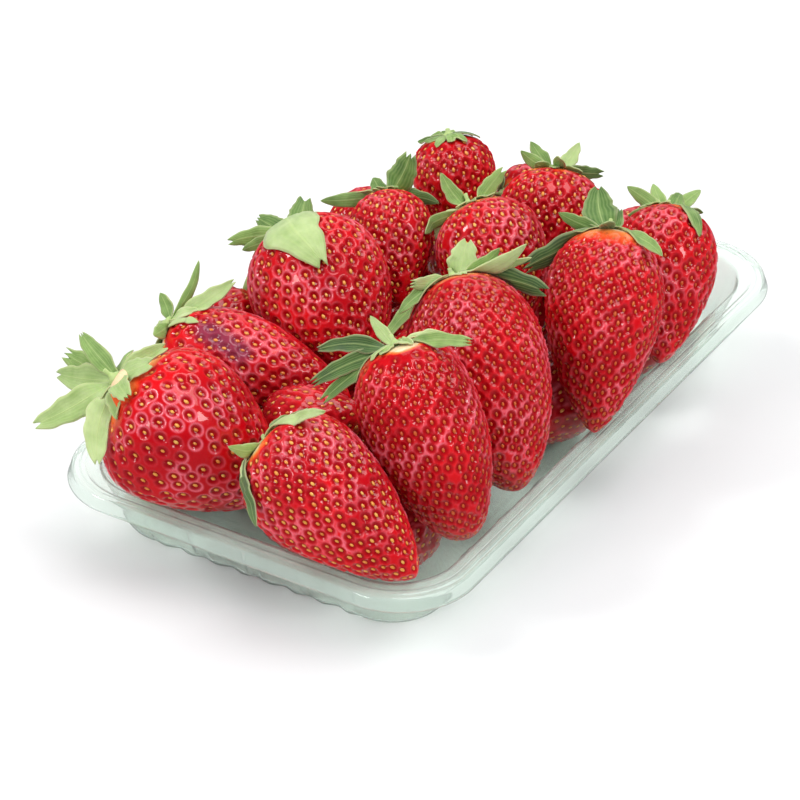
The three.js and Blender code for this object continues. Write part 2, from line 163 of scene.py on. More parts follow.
# ---- Tray ------------------------------------------------------------------
# The punnet's base is one thermoformed sheet of clear plastic, faintly green:
# a flat floor on a scalloped foot, a leaning wall with arched ribs pressed in,
# a flat flange all round and a lip turned down at its edge.
TRAY_WIDTH = 113.0
TRAY_LENGTH = 188.0
TRAY_HEIGHT = 17.5
CORNER_RADIUS = 20.2
CORNER_SHARE = 0.55
SHEET = 0.55
FLANGE_WIDTH = 6.9
BASE_INSET = 12.6
LIP_DROP = 3.4
LIP_FLARE = 1.15
LIP_FOOT_RISE = 0.5
LIP_FOOT_INSET = SHEET * 0.9
LIP_FOOT_FILLET = 0.4
FLOOR_RUN = 22
FOOT_FILLET = 2.2
FLANGE_FILLET = 1.1
LIP_FILLET = 0.9
BEAD_INSET = 3.4
BEAD_WIDTH = 1.7
BEAD_HEIGHT = 0.2
BEAD_FILLET = 0.3
SECTION_STEP = 0.7
STATION_STEP = 1.0
ARC_STEPS = 6
CORNER_STEPS = 18
LONG_RIBS = 8
SHORT_RIBS = 4
RIB_DEPTH = 1.2
RIB_SHARE = 0.36
RIB_EDGE = 0.2
RIB_START = (0.3, 2.5)
RIB_SHOULDER = 9.5
RIB_TOP = 15.0
FOOT_BUMP = 0.5
FOOT_BUMP_FADE = (1.0, 4.0)
SIDE_EASE = 0.02
WALL_START = (FLANGE_WIDTH - 0.8, FLANGE_WIDTH + 0.6)
WALL_END = (14.2, 17)


def smooth(low, high, value):
    share = np.clip((value - low) / (high - low), 0, 1)
    return share * share * (3 - 2 * share)


def rounded_path(corners):
    """Points of (outward, height) along straight runs whose corners are arcs."""
    points = [corners[0][:2]]
    for before, (x, z, radius), after in zip(corners, corners[1:], corners[2:]):
        here = Vector((x, z))
        back_way = (Vector(before[:2]) - here).normalized()
        on_way = (Vector(after[:2]) - here).normalized()
        opening = back_way.angle(on_way)
        run = radius / math.tan(opening / 2)
        centre = here + (back_way + on_way).normalized() * radius / math.sin(opening / 2)
        first, last = here + back_way * run, here + on_way * run
        turn = (first - centre).angle_signed(last - centre)
        steps = max(3, round(abs(turn) * ARC_STEPS / math.pi) + 1)
        for step in range(steps + 1):
            angle = -turn * step / steps
            arm = first - centre
            points.append((
                centre.x + arm.x * math.cos(angle) - arm.y * math.sin(angle),
                centre.y + arm.x * math.sin(angle) + arm.y * math.cos(angle),
            ))
    points.append(corners[-1][:2])
    dense = [points[0]]
    for (x0, z0), (x1, z1) in zip(points, points[1:]):
        steps = max(1, math.ceil(math.hypot(x1 - x0, z1 - z0) / SECTION_STEP))
        for step in range(1, steps + 1):
            dense.append((x0 + (x1 - x0) * step / steps, z0 + (z1 - z0) * step / steps))
    return np.array(dense)


def tray_stations():
    """Where each station of the outline lies: its corners, turn and place on its side."""
    rows = []
    signs = [(1, 1), (-1, 1), (-1, -1), (1, -1)]
    for corner, sign in enumerate(signs):
        for step in range(CORNER_STEPS):
            rows.append((*sign, *sign, (corner + step / CORNER_STEPS) * math.pi / 2, 0, 0))
        onward = signs[(corner + 1) % 4]
        length, ribs = (TRAY_WIDTH, SHORT_RIBS) if corner % 2 == 0 else (TRAY_LENGTH, LONG_RIBS)
        steps = round((length - 2 * CORNER_RADIUS) / STATION_STEP)
        for step in range(steps):
            rows.append((*sign, *onward, (corner + 1) * math.pi / 2, step / steps, ribs))
    return np.array(rows, float).T


def rib_push(height, along, ribs):
    """How far the pressed ribs and the foot's scallops move the wall inward."""
    phase = along * ribs % 1 - 0.5
    above = np.clip(height - RIB_SHOULDER, 0, None) / (RIB_TOP - RIB_SHOULDER)
    inside = 1 - (phase / RIB_SHARE) ** 2 - above ** 2
    rib = RIB_DEPTH * smooth(0, RIB_EDGE, inside) * smooth(*RIB_START, height)
    scallop = FOOT_BUMP * np.cos(4 * math.pi * along * ribs) * (1 - smooth(*FOOT_BUMP_FADE, height))
    foot = scallop * smooth(0, SIDE_EASE, along) * smooth(0, SIDE_EASE, 1 - along)
    return np.where(ribs > 0, rib + foot, 0)


def tray_skin(path, stations):
    """One skin of the sheet, as rows of points: path gives inset from the outline and height."""
    from_x, from_y, to_x, to_y, angle, along, ribs = stations
    inset, height = -path[:, :1], path[:, 1:]
    radius = CORNER_RADIUS - inset * CORNER_SHARE
    half_x = TRAY_WIDTH / 2 - inset - radius
    half_y = TRAY_LENGTH / 2 - inset - radius
    on_wall = smooth(*WALL_START, inset) * (1 - smooth(*WALL_END, inset))
    reach = radius - rib_push(height, along, ribs) * on_wall
    x = (from_x + (to_x - from_x) * along) * half_x + reach * np.cos(angle)
    y = (from_y + (to_y - from_y) * along) * half_y + reach * np.sin(angle)
    return np.stack([x, y, height + 0 * x], axis=-1)


def tray_mesh():
    """The closed sheet: its section swept round the outline, inner skin first."""
    lip_foot = TRAY_HEIGHT - LIP_DROP
    middle = rounded_path([
        (-BASE_INSET - FLOOR_RUN, SHEET / 2, 0),
        (-BASE_INSET, SHEET / 2, FOOT_FILLET),
        (-FLANGE_WIDTH, TRAY_HEIGHT - SHEET / 2, FLANGE_FILLET),
        (-BEAD_INSET - BEAD_WIDTH / 2, TRAY_HEIGHT - SHEET / 2, BEAD_FILLET),
        (-BEAD_INSET - BEAD_WIDTH / 4, TRAY_HEIGHT - SHEET / 2 + BEAD_HEIGHT, BEAD_FILLET),
        (-BEAD_INSET + BEAD_WIDTH / 4, TRAY_HEIGHT - SHEET / 2 + BEAD_HEIGHT, BEAD_FILLET),
        (-BEAD_INSET + BEAD_WIDTH / 2, TRAY_HEIGHT - SHEET / 2, BEAD_FILLET),
        (-LIP_FLARE, TRAY_HEIGHT - SHEET / 2, LIP_FILLET),
        (-LIP_FOOT_INSET, lip_foot + LIP_FOOT_RISE, LIP_FOOT_FILLET),
        (-SHEET / 2, lip_foot, 0),
    ])
    heading = np.gradient(middle, axis=0)
    heading /= np.linalg.norm(heading, axis=1, keepdims=True)
    side = np.stack([-heading[:, 1], heading[:, 0]], axis=1) * SHEET / 2
    stations = tray_stations()
    inner = tray_skin(middle + side, stations)
    outer = tray_skin(middle - side, stations)[::-1]
    rows = np.concatenate([inner, outer])
    count, around = rows.shape[:2]
    points = np.concatenate([[(0, 0, SHEET)], rows.reshape(-1, 3), [(0, 0, 0)]]) * MM
    faces = []
    last = len(points) - 1
    for station in range(around):
        after = (station + 1) % around
        faces.append((0, 1 + station, 1 + after))
        for row in range(count - 1):
            low, high = 1 + row * around, 1 + (row + 1) * around
            faces.append((low + station, high + station, high + after, low + after))
        end = 1 + (count - 1) * around
        faces.append((last, end + after, end + station))
    return points, faces


def noise(tree, scale, detail=2.0):
    place = tree.nodes.new("ShaderNodeTexCoord")
    values = {"Vector": place.outputs["Object"], "Scale": scale, "Detail": detail}
    return add_node(tree, "ShaderNodeTexNoise", values).outputs["Fac"]


tray = plain_mesh("tray_sheet", *tray_mesh())
tray.data.shade_smooth()

RIPPLE_SCALE = 90
clear_plastic, plastic_tree, plastic_shader = new_material("clear_plastic")
ripple = add_node(plastic_tree, "ShaderNodeBump", {
    "Strength": 0.12, "Distance": 0.6 * MM, "Height": noise(plastic_tree, RIPPLE_SCALE, 3),
})
fill(plastic_shader, {
    "Base Color": (0.85, 0.92, 0.87, 1), "Normal": ripple.outputs["Normal"],
    "Roughness": 0.06, "IOR": 1.38, "Transmission Weight": 0.82,
})
light_through = add_node(plastic_tree, "ShaderNodeBsdfTransparent", {"Color": (0.93, 0.97, 0.95, 1)})
plastic_path = plastic_tree.nodes.new("ShaderNodeLightPath")
plastic_look = shader_mix(plastic_tree, plastic_path.outputs["Is Shadow Ray"], plastic_shader, light_through)
fill(plastic_tree.nodes["Material Output"], {"Surface": plastic_look.outputs[0]})
tray.data.materials.append(clear_plastic)

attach(tray, "root")
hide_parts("tray")

# ---- Strawberry flesh ------------------------------------------------------
# The fruit: large tapered strawberries, heaped with their tips leaning to the
# near right. The skin is glossy and swells between the seeds, so that each
# seed sits in a small dimple; some shoulders are still orange or white.

# at: the berry's middle; heading: the compass of its tip in plan, from +X to
# +Y; dip: how far the tip points down; widest: where the greatest width lies,
# from calyx to tip; taper: how pointed; pale: how unripe the shoulder is; gap:
# between seeds; crown: how far the calyx sits above, beside and beyond the end
# of the axis; neck: how much of that the flesh follows; star: the calyx's own
# heading and dip, where it doesn't face straight back; bruise: the shares
# of the length and turns of the two ends of a darker purple patch; glow: how
# yellow the seeds are.
BERRIES = (
    dict(at=(-17, -78, 32), heading=15, dip=29, length=45, width=38.5, widest=0.30, taper=0.62,
         pale=0.32, gap=4.0, crown=(3.5, 1.3, 4.0), neck=1, star=(24.3, 37)),
    dict(at=(-24, -44, 31), heading=15, dip=6, length=49.5, width=28.5, widest=0.33, taper=0.68,
         pale=0.15, gap=3.6, crown=(7.0, -1.5, -0.6), bruise=((0.25, 22), (0.45, 36)), glow=0.7),
    dict(at=(25, -82, 30.7), heading=-5, dip=25, length=48.5, width=32, widest=0.28, taper=0.61,
         pale=0.28, gap=3.1),
    dict(at=(34.8, -56.9, 38.7), heading=-20, dip=56, length=49.5, width=29.5, widest=0.36, taper=0.45,
         pale=0.12, gap=2.9, glow=0.14),
    dict(at=(31.5, -26, 37), heading=-34, dip=46, length=55, width=35, widest=0.385, taper=0.55,
         pale=0.12, gap=2.9, glow=0.2),
    dict(at=(44.5, 9, 37.5), heading=-66, dip=48, length=51.5, width=30.5, widest=0.34, taper=0.66,
         pale=0.6, gap=2.8, glow=0.2),
    dict(at=(43.4, 44.1, 31.8), heading=-64, dip=38, length=42, width=27, widest=0.315, taper=0.64,
         pale=0.3, gap=3.3, glow=0.1),
    dict(at=(-19.5, -17, 39), heading=-31, dip=23, length=46, width=36.5, widest=0.36, taper=0.66,
         pale=0.1, gap=3.6),
    dict(at=(-20.5, 15.5, 37.5), heading=-50, dip=35, length=31, width=22, widest=0.34, taper=0.64,
         pale=0.2, gap=3.0),
    dict(at=(6.5, 22.5, 37.5), heading=-27, dip=39, length=34.5, width=29, widest=0.35, taper=0.64,
         pale=0.2, gap=3.2),
    dict(at=(-25.5, 55, 34), heading=-38, dip=70, length=28.5, width=23, widest=0.34, taper=0.61,
         pale=0.1, gap=3.0),
    dict(at=(3.5, 55, 29.5), heading=-67, dip=49, length=34, width=28, widest=0.345, taper=0.63,
         pale=0.2, gap=3.0),
)
# The berries underneath and between: x, y, z, heading, dip, length, width.
LOWER_BERRIES = (
    (-32.6, -60.7, 13.3, 81, 1, 32, 23),
    (-28.8, -28.5, 13.5, -94, 6, 32, 24),
    (-29.5, 5.9, 13.6, 84, 3, 31, 23),
    (-30.1, 40.1, 13.5, -81, 5, 32, 24),
    (-25.5, 68, 16.5, 19, 4, 29, 22),
    (27.8, -62, 13, -70, 3, 30, 22.5),
    (24.2, -29.6, 12.5, 86, 5, 30, 21.5),
    (33, 4, 15.4, -87, 2, 32, 25),
    (33.6, 39.5, 14, -86, 3, 31, 23),
    (27.3, 70.5, 13.1, -9, -2, 29, 23),
    (6.3, -67.4, 12.6, -30, 6, 29, 22),
    (-0.2, 72.6, 13.1, 171, 2, 28, 23),
    (8, -39, 22, -72, 0, 26, 20),
    (6, -5, 17.5, -40, -5, 30, 24),
    (24, 38.8, 28, -51, 0, 27, 21),
    (-12, 36, 25.6, -72, 1, 28, 22),
    (-45.2, -27.8, 27.2, -102, 12, 25, 19),
    (-38, 8, 28.8, -80, 12, 27, 21),
    (-43.2, 34.3, 28, -97, -5, 24, 18),
    (0, -54, 29.5, 30, -15, 27, 22),
    (6, 32, 15, -60, -15, 29, 24),
    (-10, 16, 14.5, 90, -15, 29, 23),
    (20, 0, 31, -30, 15, 25, 20.5),
    (-6, -22, 14, 120, -15, 27, 22),
    (24, 64, 30, 90, -15, 22, 18),
    (-14, -52, 13, 90, -10, 26, 21),
    (6, -18, 31, 120, -15, 20.5, 16.5),
    (-12, 74, 27, 60, 15, 20, 16.5),
    (-6, 52, 12.5, 0, 10, 23, 19),
    (22, -46, 27, 30, 15, 19, 15.5),
    (38, 68, 27, 120, -15, 19, 15.5),
)
LOWER_WIDEST = 0.34
LOWER_TAPER = 0.62
LOWER_PALE = 0.2
LOWER_GAP = 3.2
OUTLINE_STEPS = 800
LOBE = 0.02
LUMP = 0.012
LUMP_TWIST = 9
CUTS_PER_WIDTH = 2.5
LOWER_CUTS = 18
NECK = (1.5, 12.0)
PURPLE_PATCH_FADE = (1.0, 4.6)
GOLDEN_ANGLE = math.pi * (3 - math.sqrt(5))
HEXAGON_AREA = 0.866
TIP_CROWDING = 0.55
TIP_CROWDED = (0.62, 1)
SHOULDER_THINNING = 0.25
SHOULDER_END = 0.2
SEED_SLIP = 0.09
SEED_ZONE = (0.035, 0.995)
SEEDS_MISSING = 0.02
SEED_SINK = 0.04
SHARE_STEP = 0.004
TURN_STEP = 0.02
POINTS_AT_ONCE = 4000
DIMPLE_RADIUS = 1.5
DIMPLE_SHARE = 0.52
DIMPLE_LONG = 1.15
DIMPLE_BOWL = 2.4
DIMPLE_DEPTH = 0.72
DEPTH_SPREAD = (0.8, 1.15)
DEPTH_START = (0.01, 0.1)
TIP_NARROWER = 0.25
TIP_NARROWED = (0.7, 1)
TIP_SHALLOWER = 0.45
TIP_SHALLOWED = (0.85, 1)
RIM_HIGHLIGHT_WIDTH = 0.16
RIM_HIGHLIGHT_FADE = (0.02, 0.15)


def axis_frame(heading, dip):
    """The way a berry points, and the ways up and to the side across it."""
    heading, dip = math.radians(heading), math.radians(dip)
    flat = math.cos(dip)
    axis = np.array([flat * math.cos(heading), flat * math.sin(heading), -math.sin(dip)])
    top = np.array([0, 0, 1.0]) - axis[2] * axis
    top /= np.linalg.norm(top)
    return axis, top, np.cross(axis, top)


class Berry:
    """One fruit's shape: a tapered outline turned round its axis, with slight lobes."""

    def __init__(self, at, heading, dip, length, width, widest, taper, pale, gap,
                 crown=(0, 0, 0), neck=0, star=None, bruise=None, glow=0.85):
        self.axis, self.top, self.side = axis_frame(heading, dip)
        self.star = axis_frame(*star) if star else (self.axis, self.top, self.side)
        self.at = np.array(at, float)
        self.calyx = self.at - self.axis * length / 2
        crown = self.top * crown[0] + self.side * crown[1] - self.axis * crown[2]
        self.hub = self.calyx + crown
        self.neck = crown * neck
        self.length, self.width, self.widest, self.taper = length, width, widest, taper
        self.skew = math.log(0.5) / math.log(widest)
        self.pale, self.gap, self.bruise, self.glow = pale, gap, bruise, glow
        self.share = (1 - np.cos(np.linspace(0, math.pi, OUTLINE_STEPS))) / 2
        rim = self.radius(self.share)
        step = np.hypot(np.diff(self.share) * length, np.diff(rim))
        self.run = np.concatenate([[0], np.cumsum(step)])
        ring = math.pi * (rim[1:] + rim[:-1]) * step
        self.area = np.concatenate([[0], np.cumsum(ring)])

    def radius(self, share):
        share = np.clip(share, 0, 1)
        return self.width / 2 * np.sin(math.pi * share ** self.skew).clip(0) ** self.taper

    def centre(self, share):
        """Points of the middle line, which a neck bends up to the hub at the calyx end."""
        drawn = np.where(share < self.widest, 1 - smooth(*NECK, self.radius(share)), 0)
        return self.calyx + np.outer(share * self.length, self.axis) + np.outer(drawn, self.neck)

    def surface(self, share, turn):
        """Points of the smooth skin at shares of the length and turns round the axis."""
        swell = 1 + LOBE * np.cos(2 * turn + self.at[0]) + LOBE * np.cos(3 * turn + self.at[1])
        swell += LUMP * np.sin(5 * turn + LUMP_TWIST * share + self.at[2]) * np.sin(math.pi * share)
        out = self.radius(share) * swell
        around = np.outer(np.cos(turn), self.top) + np.outer(np.sin(turn), self.side)
        return self.centre(share) + around * out[:, None]

    def seeds(self, random):
        """Shares and turns of the seeds, in the spirals that growing buds follow."""
        crowding = 1 + TIP_CROWDING * smooth(*TIP_CROWDED, self.share)
        crowding = crowding - SHOULDER_THINNING * (1 - smooth(0, SHOULDER_END, self.share))
        weight = np.concatenate([[0], np.cumsum(np.diff(self.area) * crowding[1:])])
        count = int(weight[-1] / (HEXAGON_AREA * self.gap ** 2))
        place = (np.arange(count) + 0.5) / count * weight[-1]
        share = np.interp(place, weight, self.share)
        turn = np.arange(count) * GOLDEN_ANGLE + random.uniform(0, 2 * math.pi)
        slip = SEED_SLIP * self.gap
        turn = turn + random.normal(0, slip, count) / np.maximum(self.radius(share), 2)
        share = share + random.normal(0, slip, count) / self.length
        kept = (share > SEED_ZONE[0]) & (share < SEED_ZONE[1]) & (random.random(count) > SEEDS_MISSING)
        return share[kept], turn[kept]


def ball_net(cuts):
    """A cube's even net blown up to a ball: unit directions and four-sided faces."""
    ball = bmesh.new()
    bmesh.ops.create_cube(ball, size=2)
    bmesh.ops.subdivide_edges(ball, edges=ball.edges[:], cuts=cuts, use_grid_fill=True)
    ball.verts.index_update()
    way = np.tan(np.array([v.co for v in ball.verts]) * math.pi / 4)
    faces = [[v.index for v in face.verts] for face in ball.faces]
    ball.free()
    return way / np.linalg.norm(way, axis=1, keepdims=True), faces


def nearest_seed(points, seeds, tipward):
    """For each point: the nearest seed, and how far it is, less along the berry."""
    nearest = np.zeros(len(points), int)
    distance = np.zeros(len(points))
    saved = 1 - 1 / DIMPLE_LONG ** 2
    for start in range(0, len(points), POINTS_AT_ONCE):
        part = slice(start, start + POINTS_AT_ONCE)
        apart = points[part, None, :] - seeds[None]
        square = (apart ** 2).sum(2) - saved * np.einsum("psk,sk->ps", apart, tipward) ** 2
        nearest[part] = square.argmin(1)
        distance[part] = np.sqrt(square.min(1).clip(0))
    return nearest, distance


def purple_patch_share(berry, skin):
    """How far each point lies in the purple patch, which fades round the line between its two ends."""
    if not berry.bruise:
        return np.zeros(len(skin))
    share, turn = np.array(berry.bruise).T
    first, last = berry.surface(share, np.radians(turn))
    along = last - first
    reached = np.clip((skin - first) @ along / (along @ along), 0, 1)
    apart = np.linalg.norm(skin - first - np.outer(reached, along), axis=1)
    return 1 - smooth(*PURPLE_PATCH_FADE, apart)


def flesh(berry, net, random):
    """One berry's skin, faces and skin values, and its seeds' places and ways."""
    way, faces = net
    polar = np.arccos(way[:, 2].clip(-1, 1))
    share = np.interp(polar / math.pi * berry.run[-1], berry.run, berry.share)
    turn = np.arctan2(way[:, 1], way[:, 0])
    skin = berry.surface(share, turn)
    seed_share, seed_turn = berry.seeds(random)
    seeds = berry.surface(seed_share, seed_turn)
    ahead = berry.surface(seed_share + SHARE_STEP, seed_turn)
    beside = berry.surface(seed_share, seed_turn + TURN_STEP)
    tipward = ahead - seeds
    tipward /= np.linalg.norm(tipward, axis=1, keepdims=True)
    outward = np.cross(tipward, beside - seeds)
    outward /= np.linalg.norm(outward, axis=1, keepdims=True)
    outward *= np.sign(((seeds - berry.at) * outward).sum(1))[:, None]
    nearest, distance = nearest_seed(skin, seeds, tipward)
    reach = min(DIMPLE_RADIUS, DIMPLE_SHARE * berry.gap) * (1 - TIP_NARROWER * smooth(*TIP_NARROWED, share))
    depth = DIMPLE_DEPTH * random.uniform(*DEPTH_SPREAD, len(seeds))
    depth *= smooth(*DEPTH_START, seed_share) * (1 - TIP_SHALLOWER * smooth(*TIP_SHALLOWED, seed_share))
    hollow = 1 - np.clip(distance / reach, 0, 1) ** DIMPLE_BOWL
    # The ring along each dimple's rim, where the skin material paints a highlight.
    wall = np.exp(-((distance / reach - 1.0) / RIM_HIGHLIGHT_WIDTH) ** 2) * smooth(*RIM_HIGHLIGHT_FADE, share)
    drop = depth[nearest] * hollow
    inward = -outward[nearest]
    skin = skin + inward * drop[:, None]
    seeds = seeds - outward * (depth - SEED_SINK)[:, None]
    pale = np.full(len(skin), berry.pale)
    values = dict(hollow=hollow, wall=wall, share=share, bruise=purple_patch_share(berry, skin), pale=pale)
    return dict(skin=skin, faces=faces, values=values, seeds=seeds, outward=outward, tipward=tipward,
                glow=np.full(len(seeds), berry.glow))


def store(piece, key, values):
    """Keeps one number for each vertex, for the materials."""
    piece.data.attributes.new(key, "FLOAT", "POINT").data.foreach_set("value", values)


def berry_piece(name, shapes):
    """One mesh of one or more berries, with the skin's values as attributes."""
    points, faces, values = [], [], {}
    for shape in shapes:
        start = sum(len(p) for p in points)
        points.append(shape["skin"])
        faces += [[start + corner for corner in quad] for quad in shape["faces"]]
        for key, value in shape["values"].items():
            values.setdefault(key, []).append(value)
    piece = plain_mesh(name, np.concatenate(points) * MM, faces)
    for key, value in values.items():
        store(piece, key, np.concatenate(value))
    piece.data.shade_smooth()
    return piece


RANDOM_SEED = 2407
random = np.random.default_rng(RANDOM_SEED)
berries = [Berry(**row) for row in BERRIES]
lower_berries = [
    Berry((x, y, z), heading, dip, length, width, LOWER_WIDEST, LOWER_TAPER, LOWER_PALE, LOWER_GAP)
    for x, y, z, heading, dip, length, width in LOWER_BERRIES
]
coarse_net = ball_net(LOWER_CUTS)
upper_shapes = [flesh(berry, ball_net(round(berry.width * CUTS_PER_WIDTH)), random) for berry in berries]
lower_shapes = [flesh(berry, coarse_net, random) for berry in lower_berries]


def attribute_value(tree, name):
    return add_node(tree, "ShaderNodeAttribute", {}, attribute_name=name).outputs["Fac"]


def ramp(tree, fac, stops):
    """A colour ramp over fac, from places and colours."""
    node = add_node(tree, "ShaderNodeValToRGB", {"Fac": fac})
    elements = node.color_ramp.elements
    while len(elements) < len(stops):
        elements.new(0.5)
    for element, (place, colour) in zip(elements, stops):
        element.position = place
        element.color = (*colour, 1)
    return node.outputs["Color"]


def mixed(tree, fac, first, second):
    """The colour first where fac is 0, second where it is 1."""
    values = {"Factor": fac, "A": first, "B": second}
    return add_node(tree, "ShaderNodeMix", values, data_type="RGBA").outputs["Result"]


CLOUD_SCALE = 60
HOLLOW_PAINTED_SHADE = 0.8
PATCH_SCALE = 75
PATCH_START = 0.48
PATCH_GAIN = 4.5
PATCH_LEAST = 0.06
PATCH_MOST = 0.62
SHOULDER_REACH = 0.17
SHOULDER_SCALE = 95
SHOULDER_UNEVEN = 0.16
SHOULDER_GAIN = 4
PURPLE_PATCH_AMOUNT = 0.8
GRAIN_SCALE = 1400
ripe_skin, skin_tree, skin_shader = new_material("ripe_skin")
skin_math = functools.partial(math_node, skin_tree)
skin_value = functools.partial(attribute_value, skin_tree)
skin_noise = functools.partial(noise, skin_tree)
skin_red = ramp(skin_tree, skin_noise(CLOUD_SCALE), [
    (0.35, (0.45, 0.0, 0.005)), (0.65, (0.68, 0.002, 0.006)),
])
# Painted shade: the hollows of the dimples are painted a darker red.
painted_hollow_shade = skin_math("MULTIPLY", skin_value("hollow"), HOLLOW_PAINTED_SHADE)
skin_red = mixed(skin_tree, painted_hollow_shade, skin_red, (0.24, 0.0, 0.004, 1))
# Painted highlight: the walls between the dimples are painted a pale pink that stands for their shine, more
# in some patches than in others.
patch = skin_math("MULTIPLY", skin_math("SUBTRACT", skin_noise(PATCH_SCALE), PATCH_START), PATCH_GAIN)
patch = skin_math("MINIMUM", skin_math("MAXIMUM", patch, PATCH_LEAST), PATCH_MOST)
painted_rim_highlight = skin_math("MULTIPLY", skin_value("wall"), patch)
skin_red = mixed(skin_tree, painted_rim_highlight, skin_red, (0.88, 0.22, 0.29, 1))
# The shoulder is orange to white as far down as the berry is pale, with an uneven edge.
cloud = skin_math("SUBTRACT", skin_noise(SHOULDER_SCALE), 0.5)
edge = skin_math("ADD", skin_value("share"), skin_math("MULTIPLY", cloud, SHOULDER_UNEVEN))
orange_reach = skin_math("MULTIPLY", skin_value("pale"), SHOULDER_REACH)
orange = skin_math("SUBTRACT", 1, skin_math("DIVIDE", edge, orange_reach))
orange = skin_math("MINIMUM", skin_math("MAXIMUM", orange, 0), 1)
shoulder = ramp(skin_tree, orange, [
    (0.0, (0.60, 0.010, 0.010)), (0.3, (0.78, 0.055, 0.012)), (0.7, (0.86, 0.22, 0.05)),
    (1.0, (0.86, 0.62, 0.38)),
])
on_shoulder = skin_math("MINIMUM", skin_math("MULTIPLY", orange, SHOULDER_GAIN), 1)
skin_red = mixed(skin_tree, on_shoulder, skin_red, shoulder)
# A darker purple patch on one berry.
purple_tint = skin_math("MULTIPLY", skin_value("bruise"), PURPLE_PATCH_AMOUNT)
skin_red = mixed(skin_tree, purple_tint, skin_red, (0.20, 0.035, 0.075, 1))
skin_grain = add_node(skin_tree, "ShaderNodeBump", {
    "Strength": 0.25, "Distance": 0.25 * MM, "Height": skin_noise(GRAIN_SCALE, 3),
})
fill(skin_shader, {
    "Base Color": skin_red, "Normal": skin_grain.outputs["Normal"],
    "Roughness": 0.32, "Specular IOR Level": 0.12, "IOR": 1.40,
    "Subsurface Weight": 0.15, "Subsurface Radius": (1.0, 0.15, 0.1), "Subsurface Scale": 1.2 * MM,
    "Coat Weight": 1.0, "Coat IOR": 1.4, "Coat Roughness": 0.07,
})

upper_pieces = [berry_piece(f"berry_{number:02d}", [shape]) for number, shape in enumerate(upper_shapes, 1)]
lower_piece = berry_piece("lower_berries", lower_shapes)
for piece in (*upper_pieces, lower_piece):
    piece.data.materials.append(ripe_skin)
    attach(piece, "root")
    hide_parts("strawberries")

# ---- Seeds -----------------------------------------------------------------
# The small dry fruits on the skin: flat ovals of yellow to orange, one in each
# dimple, lying along the berry. They stay a little proud of the hollow.
SEED_LENGTH = 1.45
SEED_WIDTH = 0.88
SEED_THICKNESS = 0.5
SEED_SPREAD = 0.16
SEED_SEGMENTS = 6
SEED_RINGS = 3
HUSK_SPREAD = 0.6
HUSK_DARKEST = 0.5


def seed_tree():
    """Nodes that lay a flat oval on each place, its flat side outward and its length tipward."""
    tree = bpy.data.node_groups.new("seeds in dimples", "GeometryNodeTree")
    given = tree.interface
    given.new_socket("Places", in_out="INPUT", socket_type="NodeSocketGeometry")
    for name in ("Length", "Width", "Thickness", "Size Spread"):
        given.new_socket(name, in_out="INPUT", socket_type="NodeSocketFloat")
    given.new_socket("Random Seed", in_out="INPUT", socket_type="NodeSocketInt")
    given.new_socket("Material", in_out="INPUT", socket_type="NodeSocketMaterial")
    given.new_socket("Seeds", in_out="OUTPUT", socket_type="NodeSocketGeometry")
    source = tree.nodes.new("NodeGroupInput").outputs

    ball = add_node(tree, "GeometryNodeMeshUVSphere", {
        "Segments": SEED_SEGMENTS, "Rings": SEED_RINGS, "Radius": 0.5,
    })
    turned = {}
    for name, axis, pivot in (("outward", "Z", "AUTO"), ("tipward", "Y", "Z")):
        way = add_node(tree, "GeometryNodeInputNamedAttribute", {"Name": name}, data_type="FLOAT_VECTOR")
        turn = add_node(tree, "FunctionNodeAlignRotationToVector", {
            "Vector": way.outputs["Attribute"], **turned,
        }, axis=axis, pivot_axis=pivot)
        turned = {"Rotation": turn.outputs["Rotation"]}
    amount = add_node(tree, "FunctionNodeRandomValue", {
        "Min": math_node(tree, "SUBTRACT", 1, source["Size Spread"]),
        "Max": math_node(tree, "ADD", 1, source["Size Spread"]),
        "Seed": source["Random Seed"],
    }, data_type="FLOAT")
    size = add_node(tree, "ShaderNodeCombineXYZ", {
        "X": source["Width"], "Y": source["Length"], "Z": source["Thickness"],
    })
    scaled = add_node(tree, "ShaderNodeVectorMath", {
        0: size.outputs[0], "Scale": amount.outputs["Value"],
    }, operation="SCALE")
    placed = add_node(tree, "GeometryNodeInstanceOnPoints", {
        "Points": source["Places"], "Instance": ball.outputs["Mesh"], "Scale": scaled.outputs[0], **turned,
    })
    tone = add_node(tree, "FunctionNodeRandomValue", {}, data_type="FLOAT")
    toned = add_node(tree, "GeometryNodeStoreNamedAttribute", {
        "Geometry": placed.outputs["Instances"], "Name": "tone", "Value": tone.outputs["Value"],
    }, data_type="FLOAT", domain="INSTANCE")
    real = add_node(tree, "GeometryNodeRealizeInstances", {"Geometry": toned.outputs["Geometry"]})
    rounded = add_node(tree, "GeometryNodeSetShadeSmooth", {"Geometry": real.outputs["Geometry"]})
    painted = add_node(tree, "GeometryNodeSetMaterial", {
        "Geometry": rounded.outputs["Geometry"], "Material": source["Material"],
    })
    fill(tree.nodes.new("NodeGroupOutput"), {"Seeds": painted.outputs["Geometry"]})
    return tree


def seed_piece(name, shapes, tree, values):
    """Plain mesh of all the seeds of some berries."""
    together = {key: np.concatenate([shape[key] for shape in shapes])
                for key in ("seeds", "outward", "tipward", "glow")}
    points = plain_mesh("seed_places", together["seeds"] * MM, [])
    for key in ("outward", "tipward"):
        layer = points.data.attributes.new(key, "FLOAT_VECTOR", "POINT")
        layer.data.foreach_set("vector", together[key].ravel())
    store(points, "glow", together["glow"])
    modifier = points.modifiers.new("seeds", "NODES")
    modifier.node_group = tree
    sockets = {item.name: item.identifier for item in tree.interface.items_tree if item.in_out == "INPUT"}
    for key, value in values.items():
        modifier[sockets[key]] = value
    evaluated = points.evaluated_get(bpy.context.evaluated_depsgraph_get())
    mesh = bpy.data.meshes.new_from_object(evaluated)
    mesh.name = name
    bpy.data.objects.remove(points)
    piece = bpy.data.objects.new(name, mesh)
    scene.collection.objects.link(piece)
    return piece


